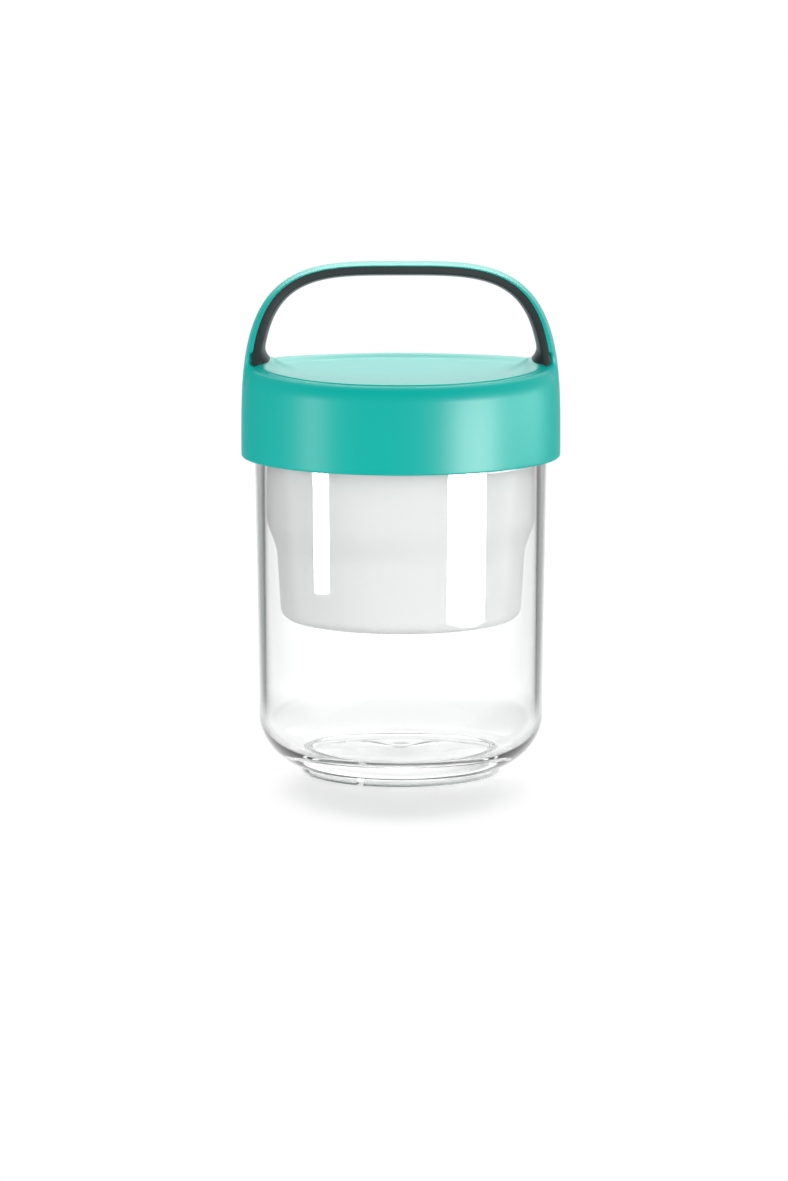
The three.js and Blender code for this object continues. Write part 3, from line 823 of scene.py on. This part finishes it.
def soft_grey(finishes):
    """Soft-touch rubber of the grip."""
    look = {"Roughness": 0.58, "IOR": 1.5, "Specular IOR Level": 0.2}
    look |= {"Sheen Weight": 0.9, "Sheen Roughness": 0.25}
    surface = {"clouds": 60.0, "change": 0.05, "grain": 3500.0, "strength": 0.4}
    return moulded("soft_rubber", finishes.grey, look, **surface)


def milky_plastic(finishes):
    """Milky satin plastic of the cup."""
    look = {"Roughness": 0.4, "IOR": 1.5, "Transmission Weight": 0.1, "Subsurface Weight": 0.5}
    look |= {"Subsurface Radius": (1.0, 1.0, 1.0), "Subsurface Scale": 3 * MM}
    surface = {"clouds": 30.0, "change": 0.01, "grain": 1800.0, "strength": 0.15}
    return moulded("milky_cup", finishes.milky, look, **surface)


def matte_silicone(finishes):
    """Matte silicone of the seals."""
    surface = {"clouds": 50.0, "change": 0.02, "grain": 3000.0, "strength": 0.2}
    return moulded("matte_silicone", finishes.silicone, {"Roughness": 0.6}, **surface)


def white_plastic(finishes):
    """Satin white plastic of the closure ring."""
    surface = {"clouds": 50.0, "change": 0.015, "grain": 2500.0, "strength": 0.2}
    return moulded("white_closure", finishes.white, {"Roughness": 0.45}, **surface)


def mixed(tree, factor, first, second):
    """A colour that goes from the first to the second as the factor goes from 0 to 1."""
    inputs = {"Factor": factor, 6: first, 7: second}
    return add_node(tree, "ShaderNodeMix", inputs, data_type="RGBA", blend_type="MIX").outputs[2]


def clear_plastic(finishes):
    """Clear plastic of the jar, coated outside, with painted shade where it is seen edge-on, along the
    foot's underside and in the dimple.
    """
    material, tree, shader = new_material("clear_jar")
    clear, dark = rgba(finishes.clear), rgba(finishes.edge_on_painted_shade)
    # painted shade: the wall darkens as it turns edge-on to the view
    facing = add_node(tree, "ShaderNodeLayerWeight", {"Blend": 0.5}).outputs["Facing"]
    ramp = add_node(tree, "ShaderNodeValToRGB", {0: facing})
    stops = ramp.color_ramp.elements
    for turn, darkness in EDGE_PAINTED_SHADE:
        stops.new(turn).color = [a + (b - a) * darkness for a, b in zip(clear, dark)]
    stops[0].position = EDGE_START
    stops[0].color = clear
    stops[-1].color = dark
    place = object_place(tree)
    level = levelled(tree, place)
    radius = size_of(tree, level)
    outer = ramped(tree, radius, *OUTER_WALL, kind="LINEAR")
    tint_and_painted_shade = mixed(tree, outer, clear, ramp.outputs[0])
    # painted shade along the bottom of the foot, where it stands on the floor
    painted_contact_shade = ramped(tree, along(tree, place, (0.0, 0.0, 1.0)), *PAINTED_CONTACT_SHADE, 1.0, 0.0, kind="LINEAR")
    tint_and_painted_shade = mixed(tree, painted_contact_shade, tint_and_painted_shade, dark)
    # painted shade in the dimple under the floor's centre
    shade = ramped(tree, radius, *DIMPLE, DIMPLE_SHADE, 1.0, kind="LINEAR")
    geometry = tree.nodes.new("ShaderNodeNewGeometry").outputs
    side = multiply_add(tree, geometry["Backfacing"], -2.0, 1.0)  # 1 on a face's front and -1 on its back
    outward = product(tree, along(tree, geometry["Normal"], level), side)
    coat = arithmetic(tree, "GREATER_THAN", outward, 0.0)
    look = {"Base Color": scaled(tree, tint_and_painted_shade, shade), "Roughness": 0.02, "IOR": 1.16}
    look |= {"Transmission Weight": 1.0, "Coat Weight": coat, "Coat Roughness": 0.03}
    set_inputs(tree, shader, look)
    return material


# Pieces


class JAR_OT_body(bpy.types.Operator):
    """Make the clear jar with its neck lugs, turn stops and drain notches"""

    bl_idname = "togo_jar.body"
    bl_label = "Clear jar"

    def execute(self, context):
        jar = context.scene.jar_sizes
        material = clear_plastic(context.scene.jar_finishes)
        centre = jar.low - jar.corner_across
        high = jar.corner_low + jar.corner_up
        foot_turn = math.degrees(math.acos((jar.foot - centre) / jar.corner_across))
        soft, rim, rise, overlap = 0.45 * MM, 0.9 * MM, 0.2 * MM, 0.6 * MM
        dimple_edge = 1.15 * jar.dimple
        foot_in = jar.foot - jar.foot_width
        inner_low = jar.low - jar.wall
        profile = arc(0, jar.recess - rise, jar.dimple, jar.dimple_depth + rise, 90, 20, 6)
        profile += [(dimple_edge, jar.recess), (foot_in * FLAT_SHARE, jar.recess)]
        profile += rounded(foot_in, jar.recess, soft, 90, 0, 4)
        profile += rounded(foot_in, 0, soft, 180, 270, 4)
        profile += rounded(jar.foot, 0, soft, -90, -15, 4)
        profile += arc(centre, high, jar.corner_across, jar.corner_up, -foot_turn, 0, 32)
        profile += straight((jar.low, high), (jar.body, jar.neck_end - jar.shoulder), 12)[1:-1]
        profile += eased((jar.body, jar.neck_end - jar.shoulder), (jar.neck, jar.neck_end), 14)
        profile += rounded(jar.neck, jar.height, rim, 0, 90, 6)
        profile += rounded(jar.mouth, jar.height, rim, 90, 180, 6)
        profile += straight((jar.mouth, jar.height - rim), (inner_low, high), 16)[1:-1]
        profile += arc(jar.floor_flat, high, inner_low - jar.floor_flat, high - jar.floor, 0, -90, 28)
        profile += [(jar.floor_flat * FLAT_SHARE, jar.floor), (0, jar.floor)]
        body = turned_solid("jar", profile, material, jar.sides)
        inner = jar.neck - overlap
        low = jar.lug_top - jar.lug_height
        lug = (inner, jar.lug_radius, low, jar.lug_top, jar.lug_arc, 14)
        with_lugs(body, lug, jar.lugs, 0.0, material)
        stop = (inner, jar.lug_radius, low - jar.stop_height, jar.lug_top - MM, jar.stop_arc, 3)
        with_lugs(body, stop, jar.lugs, -(jar.lug_arc - jar.stop_arc) / 2, material)
        width = jar.notch_width / (jar.foot + jar.foot_width)
        notch = (foot_in - MM, jar.foot + MM, -MM, jar.notch_height, width, 6)
        with_lugs(body, notch, jar.notches, jar.notch_angle, material, "DIFFERENCE")
        finished(body, material, "jar", "jar_body")
        return {"FINISHED"}


class JAR_OT_cup(bpy.types.Operator):
    """Make the milky cup that hangs in the jar's mouth"""

    bl_idname = "togo_jar.cup"
    bl_label = "Hanging cup"

    def execute(self, context):
        jar = context.scene.jar_sizes
        material = milky_plastic(context.scene.jar_finishes)
        wall, corner, soft = jar.cup_wall, jar.cup_corner, 0.5 * MM
        centre = (jar.cup_base - corner, jar.cup_bottom + corner)
        foot, foot_width = 0.8 * MM, 1.6 * MM
        profile = [(0, jar.cup_bottom + foot)]
        profile += arc(centre[0] - foot_width - foot, jar.cup_bottom, foot, foot, 90, 0, 3)
        profile += rounded(jar.cup_base, jar.cup_bottom, corner, -90, 0, 12)
        profile += straight((jar.cup_base, centre[1]), (jar.cup_low, jar.cup_cone_end), 4)[1:-1]
        profile += eased((jar.cup_low, jar.cup_cone_end), (jar.cup, jar.cup_cone), 20)
        profile += [(jar.cup, jar.flange_low - soft)]
        profile += rounded(jar.flange, jar.flange_low, soft, -90, 0, 4)
        profile += rounded(jar.flange, jar.flange_top, soft, 0, 90, 4)
        profile += rounded(jar.cup - wall, jar.flange_top, soft, 90, 180, 4)
        profile += eased((jar.cup - wall, jar.cup_cone), (jar.cup_low - wall, jar.cup_cone_end), 20)
        profile += arc(centre[0], centre[1] + foot, corner - wall, corner - wall, 0, -90, 10)
        profile += [(0, jar.cup_bottom + foot + wall)]
        cup = turned_solid("cup", profile, material, jar.sides)
        finished(cup, material, "cup", "inner_cup")
        return {"FINISHED"}


def seal_ring(jar, name, inner, outer, low, material):
    """A silicone ring with a small bead on its top and its underside."""
    soft, bead = 0.3 * MM, 0.25 * MM
    base, top = low + bead, low + jar.seal_height - bead
    middle = (inner + outer) / 2
    profile = rounded(inner, base, soft, 180, 270, 3)
    profile += arc(middle, base, bead * 2, bead, 180, 360, 6)
    profile += rounded(outer, base, soft, -90, 0, 3)
    profile += rounded(outer, top, soft, 0, 90, 3)
    profile += arc(middle, top, bead * 2, bead, 0, 180, 6)
    profile += rounded(inner, top, soft, 90, 180, 3)
    profile.append(profile[0])
    return turned_solid(name, profile, material, jar.sides)


class JAR_OT_seals(bpy.types.Operator):
    """Make the two silicone seals"""

    bl_idname = "togo_jar.seals"
    bl_label = "Seals"

    def execute(self, context):
        jar = context.scene.jar_sizes
        material = matte_silicone(context.scene.jar_finishes)
        inner = jar.cup + 0.3 * MM
        lower = seal_ring(jar, "cup_seal_ring", inner, jar.flange, jar.cup_seal, material)
        finished(lower, material, "cup", "cup_seal")
        inner = jar.flange - jar.lid_seal_width
        upper = seal_ring(jar, "lid_seal_ring", inner, jar.flange, jar.lid_seal, material)
        finished(upper, material, "seal", "lid_seal")
        return {"FINISHED"}


class JAR_OT_closure(bpy.types.Operator):
    """Make the closure ring inside the lid with its turn lugs and the seal's channel"""

    bl_idname = "togo_jar.closure"
    bl_label = "Closure ring"

    def execute(self, context):
        jar, lid = context.scene.jar_sizes, context.scene.lid_sizes
        material = white_plastic(context.scene.jar_finishes)
        soft, rib, clear, overlap = 0.4 * MM, 1.2 * MM, 0.3 * MM, 0.5 * MM
        seal_in = jar.flange - jar.lid_seal_width - clear
        seal_out = jar.flange + clear
        thick = lid.liner_outer - lid.liner_inner
        rib_low = lid.land_low - rib
        profile = rounded(lid.liner_inner, lid.liner_low, soft, 180, 270, 3)
        profile += rounded(lid.liner_outer, lid.liner_low, soft, -90, 0, 3)
        profile += [(lid.liner_outer, lid.land_top - lid.chamfer)]
        profile += [(lid.liner_outer - lid.chamfer, lid.land_top)]
        profile += rounded(lid.land_inner, lid.land_top, soft, 90, 180, 3)
        profile += rounded(lid.land_inner, rib_low, soft, 180, 270, 3)
        profile += rounded(seal_in, rib_low, soft, -90, 0, 3)
        profile += [(seal_in, lid.land_low), (seal_out, lid.land_low), (seal_out, rib_low)]
        profile += [(seal_out + MM, rib_low), (lid.liner_inner, lid.land_low - thick - rib)]
        profile.append(profile[0])
        ring = turned_solid("lid_closure_ring", profile, material, jar.sides)
        low = lid.lid_lug_top - jar.lug_height
        lug = (lid.lid_lug, lid.liner_inner + overlap, low, lid.lid_lug_top, lid.lid_lug_arc, 12)
        with_lugs(ring, lug, jar.lugs, FULL_TURN / jar.lugs / 2, material)
        finished(ring, material, "lid", "lid_liner")
        return {"FINISHED"}


class JAR_OT_lid(bpy.types.Operator):
    """Make the turquoise lid and handle, which are one moulding"""

    bl_idname = "togo_jar.lid"
    bl_label = "Lid and handle"

    def execute(self, context):
        lid = context.scene.lid_sizes
        material = satin_turquoise(context.scene.jar_finishes)
        cap = lid_cap(lid, material, 0.0, "lid_and_handle")
        strap = swept(lid, "strap", strap_corners(lid), material, lid.strap_sink)
        combine(cap, strap, "UNION")
        blend_feet(lid, cap)
        low = lid.edge - 2 * MM
        hollow = [(0, low), (lid.inner, low), (lid.inner, lid.hollow - lid.chamfer)]
        hollow += [(lid.inner - lid.chamfer, lid.hollow), (0, lid.hollow)]
        combine(cap, turned("hollow", hollow, material, lid.sides), "DIFFERENCE")
        finished(cap, material, "lid", "lid_shell")
        return {"FINISHED"}


class JAR_OT_grip(bpy.types.Operator):
    """Make the soft grip on the inside of the handle"""

    bl_idname = "togo_jar.grip"
    bl_label = "Soft grip"

    def execute(self, context):
        lid = context.scene.lid_sizes
        material = soft_grey(context.scene.jar_finishes)
        grip = swept(lid, "soft_grip", grip_corners(lid), material, 0.0)
        combine(grip, lid_cap(lid, material, lid.bond, "cut"), "DIFFERENCE")
        finished(grip, material, "lid", "handle_grip")
        return {"FINISHED"}


# Stage. Its lengths are in metres, and pairs of values are where a fade starts and ends.


WHITE = (1.0, 1.0, 1.0, 1.0)
FLOOR_HALF = 12.0
SHADOW_SHIFT = (0.0, 0.035, 0.0)  # the patch that takes the jar's shadow lies this far to the front
SHADOW_SCALE = (28.5, 20.5, 0.0)  # one over the patch's half-width and half-depth
SHADOW_EDGE = (0.75, 1.25)  # in the patch's own size
SHADOW_COLOUR, FLOOR_COLOUR = 0.98, 0.18  # the floor's own grey in the patch and outside it
FLOOR_LIGHT = 0.82  # how brightly the lamps light a white floor
FULL_FLOOR = 1.03  # the floor's whole brightness where the backdrop is white
THROUGH_MORE = 0.17  # added to that in gloss and through plastic
PLAIN_FLOOR = 0.7  # the floor's least brightness as a light
VIEW_SHIFT = (0.0, 0.15, 0.0)  # the backdrop's directions start this far in front of the jar
CLOSE_EDGE = (0.1, 0.16)  # the floor stays white through plastic up to this distance
BESIDE_EDGE = (0.16, 0.22)  # and beside the jar up to this one
BESIDE_TURN = (0.64, 0.42)  # how far back a direction points where the side starts
PATCH_EDGE = (0.89, 0.98)  # the same for the backdrop's bright patch
BEHIND_EDGE = (0.45, 0.25)  # and for its bright side round the camera
SKY_EDGE = (0.35, 0.8)  # how high a direction points where the bright sky starts
BACKDROP_DARK, BACKDROP_BEHIND = 0.05, 0.9  # brightness between those places, and round the camera
GLOSS_SIDE = (0.9, 0.436, 0.0)  # the side on which the surround is bright in gloss
GLOSS_EDGE = (0.0, 0.4)
GLOSS_DARK = 0.1  # its brightness on the other side
LIGHT_TILT, LIGHT_SHIFT = 1.2, -0.6  # how the surround's light changes with height, from front to back
LIGHT_ABOVE = 0.8  # how much less comes from straight above
LIGHT_INSIDE = 0.45  # how much more comes through the clear plastic
SUN_WIDTH, SUN_TURN = math.radians(60), math.radians(-45)
SOFT_BOXES = (  # name, place, target, width, height and watts
    ("softbox_left", (-0.324, -0.174, 0.084), (0, 0, 0.084), 0.09, 0.166, 1.07),
    ("softbox_right", (0.235, -0.198, 0.073), (0, 0, 0.084), 0.171, 0.144, 3.32),
    ("softbox_side", (0.3, -0.01, 0.1), (0, 0, 0.1), 0.28, 0.06, 0.58),
    ("softbox_back", (0.0, 0.95, 0.85), (0, 0, 0.13), 1.2, 0.8, 10.0),
)
SENSOR = 36.0  # height of the camera's sensor in millimetres
FOCAL_PIXELS, PHOTO_PIXELS = 5154, 1181  # the camera's focal length and the photo's height
CAMERA_PLACE = (-2.14 * MM, -1600 * MM, 307.1 * MM)
CAMERA_DOWN = 8.89  # degrees


def soft_box(name, place, target, width, height, watts):
    """A flat lamp that points at the target and shows only in gloss."""
    lamp = bpy.data.lights.new(name, "AREA")
    lamp.shape = "RECTANGLE"
    lamp.size, lamp.size_y, lamp.energy = width, height, watts
    made = object_of(name, lamp)
    made.location = place
    made.rotation_euler = (Vector(target) - Vector(place)).to_track_quat("-Z", "Y").to_euler()
    made.visible_camera = made.visible_diffuse = made.visible_transmission = False


def kinds_of_ray(tree):
    """1 or 0 for rays that look, for the camera's rays, and for rays that light the inside of plastic."""
    path = tree.nodes.new("ShaderNodeLightPath").outputs
    seen = larger(tree, path["Is Camera Ray"], path["Is Glossy Ray"])
    seen = larger(tree, seen, path["Is Transmission Ray"])
    direct = arithmetic(tree, "LESS_THAN", path["Diffuse Depth"], 0.5)
    inside = product(tree, path["Is Transmission Ray"], less(tree, 1.0, direct))
    return product(tree, seen, direct), path["Is Camera Ray"], inside


def backdrop(tree, direction, camera):
    """White to the camera. Otherwise dark, but for a patch behind the jar, the other side and the sky."""
    ahead = along(tree, unit(tree, levelled(tree, direction)), (0.0, 1.0, 0.0))
    patch = ramped(tree, ahead, *PATCH_EDGE, BACKDROP_DARK, 1.0)
    sky = ramped(tree, along(tree, unit(tree, direction), (0.0, 0.0, 1.0)), *SKY_EDGE)
    behind = ramped(tree, ahead, *BEHIND_EDGE, BACKDROP_DARK, BACKDROP_BEHIND)
    return larger(tree, larger(tree, larger(tree, patch, behind), sky), camera)


class JAR_OT_stage(bpy.types.Operator):
    """Set up the pale floor, the soft studio light and the camera at the photo's angle"""

    bl_idname = "togo_jar.stage"
    bl_label = "Stage"

    def execute(self, context):
        self.make_floor()
        self.make_world(context.scene)
        self.make_lamps()
        self.make_camera(context.scene)
        return {"FINISHED"}

    def make_floor(self):
        """A wide floor that looks white and keeps the object's shadow."""
        half = FLOOR_HALF
        mesh = bpy.data.meshes.new("floor")
        corners = [(-half, -half, 0), (half, -half, 0), (half, half, 0), (-half, half, 0)]
        mesh.from_pydata(corners, [], [(0, 1, 2, 3)])
        floor = object_of("floor", mesh)
        material, tree, shader = new_material("pale_floor")
        seen, camera, _ = kinds_of_ray(tree)
        place = object_place(tree)
        away = size_of(tree, place)
        shadow = on_vectors(tree, "MULTIPLY", on_vectors(tree, "ADD", place, SHADOW_SHIFT), SHADOW_SCALE)
        base = ramped(tree, size_of(tree, shadow), *SHADOW_EDGE, SHADOW_COLOUR, FLOOR_COLOUR)
        grey = add_node(tree, "ShaderNodeCombineColor", {0: base, 1: base, 2: base}).outputs[0]
        lit = product(tree, base, FLOOR_LIGHT)
        direction = on_vectors(tree, "ADD", place, VIEW_SHIFT)
        through = less(tree, 1.0, camera)
        full = multiply_add(tree, through, THROUGH_MORE, FULL_FLOOR)
        glow = product(tree, backdrop(tree, direction, camera), less(tree, full, lit))
        aside = ramped(tree, along(tree, unit(tree, direction), (0.0, 1.0, 0.0)), *BESIDE_TURN)
        beside = product(tree, aside, ramped(tree, away, *BESIDE_EDGE, 1.0, 0.0))
        close = larger(tree, ramped(tree, away, *CLOSE_EDGE, 1.0, 0.0), beside)
        close = product(tree, close, through)
        missing = less(tree, less(tree, 1.0, lit), glow)
        glow = multiply_add(tree, close, missing, glow)
        rest = larger(tree, less(tree, PLAIN_FLOOR, lit), 0.0)
        plain = product(tree, less(tree, 1.0, seen), rest)
        strength = multiply_add(tree, glow, seen, plain)
        look = {"Base Color": grey, "Roughness": 1.0, "Specular IOR Level": 0.0}
        look |= {"Emission Color": WHITE, "Emission Strength": strength}
        set_inputs(tree, shader, look)
        material.cycles.emission_sampling = "NONE"
        mesh.materials.append(material)

    def make_world(self, scene):
        """A surround that looks white, darker on one side in gloss, and lights nearly evenly."""
        world = bpy.data.worlds.new("studio")
        world.use_nodes = True
        world.cycles.sampling_method = "NONE"
        tree = world.node_tree
        seen, _, inside = kinds_of_ray(tree)
        direction = tree.nodes.new("ShaderNodeTexCoord").outputs["Generated"]
        to_side = along(tree, unit(tree, levelled(tree, direction)), GLOSS_SIDE)
        bright = ramped(tree, to_side, *GLOSS_EDGE, GLOSS_DARK, 1.0)
        gloss = tree.nodes.new("ShaderNodeLightPath").outputs["Is Glossy Ray"]
        look = product(tree, larger(tree, bright, less(tree, 1.0, gloss)), seen)
        parts = add_node(tree, "ShaderNodeSeparateXYZ", {0: direction}).outputs
        tilt = multiply_add(tree, parts["Z"], LIGHT_TILT, LIGHT_SHIFT)
        even = multiply_add(tree, parts["Y"], tilt, 1.0)
        above = product(tree, product(tree, parts["Z"], parts["Z"]), LIGHT_ABOVE)
        more = multiply_add(tree, inside, LIGHT_INSIDE, 1.0)
        even = product(tree, less(tree, even, above), more)
        strength = multiply_add(tree, less(tree, 1.0, seen), even, look)
        set_inputs(tree, tree.nodes["Background"], {"Color": WHITE, "Strength": strength})
        scene.world = world

    def make_lamps(self):
        """Soft boxes round the jar that show only in its gloss, and a soft light from above."""
        for box in SOFT_BOXES:
            soft_box(*box)
        lamp = bpy.data.lights.new("light_above", "SUN")
        lamp.energy, lamp.angle = 1.0, SUN_WIDTH
        sun = object_of("light_above", lamp)
        sun.visible_camera = False
        sun.rotation_euler = (SUN_TURN, 0, 0)

    def make_camera(self, scene):
        """The camera at the photo's place."""
        camera = bpy.data.cameras.new("camera")
        camera.sensor_fit = "VERTICAL"
        camera.sensor_height = SENSOR
        camera.lens = SENSOR * FOCAL_PIXELS / PHOTO_PIXELS
        camera.clip_end = 100.0
        made = object_of("camera", camera)
        made.location = CAMERA_PLACE
        made.rotation_euler = (math.radians(90 - CAMERA_DOWN), 0, 0)
        scene.camera = made
        scene.view_settings.view_transform = "Standard"


class JAR_PT_pieces(bpy.types.Panel):
    """The jar's pieces and sizes"""

    bl_label = "To-go jar"
    bl_idname = "JAR_PT_pieces"
    bl_space_type = "VIEW_3D"
    bl_region_type = "UI"
    bl_category = "Jar"

    def draw(self, context):
        for operator in OPERATORS:
            self.layout.operator(operator.bl_idname)
        for name in GROUPS:
            group = getattr(context.scene, name)
            box = self.layout.box()
            for value in type(group).__annotations__:
                box.prop(group, value)


OPERATORS = [JAR_OT_body, JAR_OT_cup, JAR_OT_seals, JAR_OT_closure, JAR_OT_lid, JAR_OT_grip, JAR_OT_stage]
GROUPS = {"jar_sizes": JarSizes, "lid_sizes": LidSizes, "jar_finishes": Finishes}
CLASSES = [*GROUPS.values(), *OPERATORS, JAR_PT_pieces]
TREES = {"turned": turned_tree(), "round": round_tree(), "arch": arch_tree()}


def register():
    """Registers the classes and puts their sizes on the scene."""
    for cls in CLASSES:
        bpy.utils.register_class(cls)
    for name, group in GROUPS.items():
        setattr(bpy.types.Scene, name, bpy.props.PointerProperty(type=group))


def unregister():
    """Takes the sizes off the scene and removes the classes."""
    for name in GROUPS:
        delattr(bpy.types.Scene, name)
    for cls in reversed(CLASSES):
        bpy.utils.unregister_class(cls)


def main():
    register()
    bpy.ops.togo_jar.body()
    bpy.ops.togo_jar.cup()
    bpy.ops.togo_jar.seals()
    bpy.ops.togo_jar.closure()
    bpy.ops.togo_jar.lid()
    bpy.ops.togo_jar.grip()
    bpy.ops.togo_jar.stage()


if __name__ == "__main__":
    main()
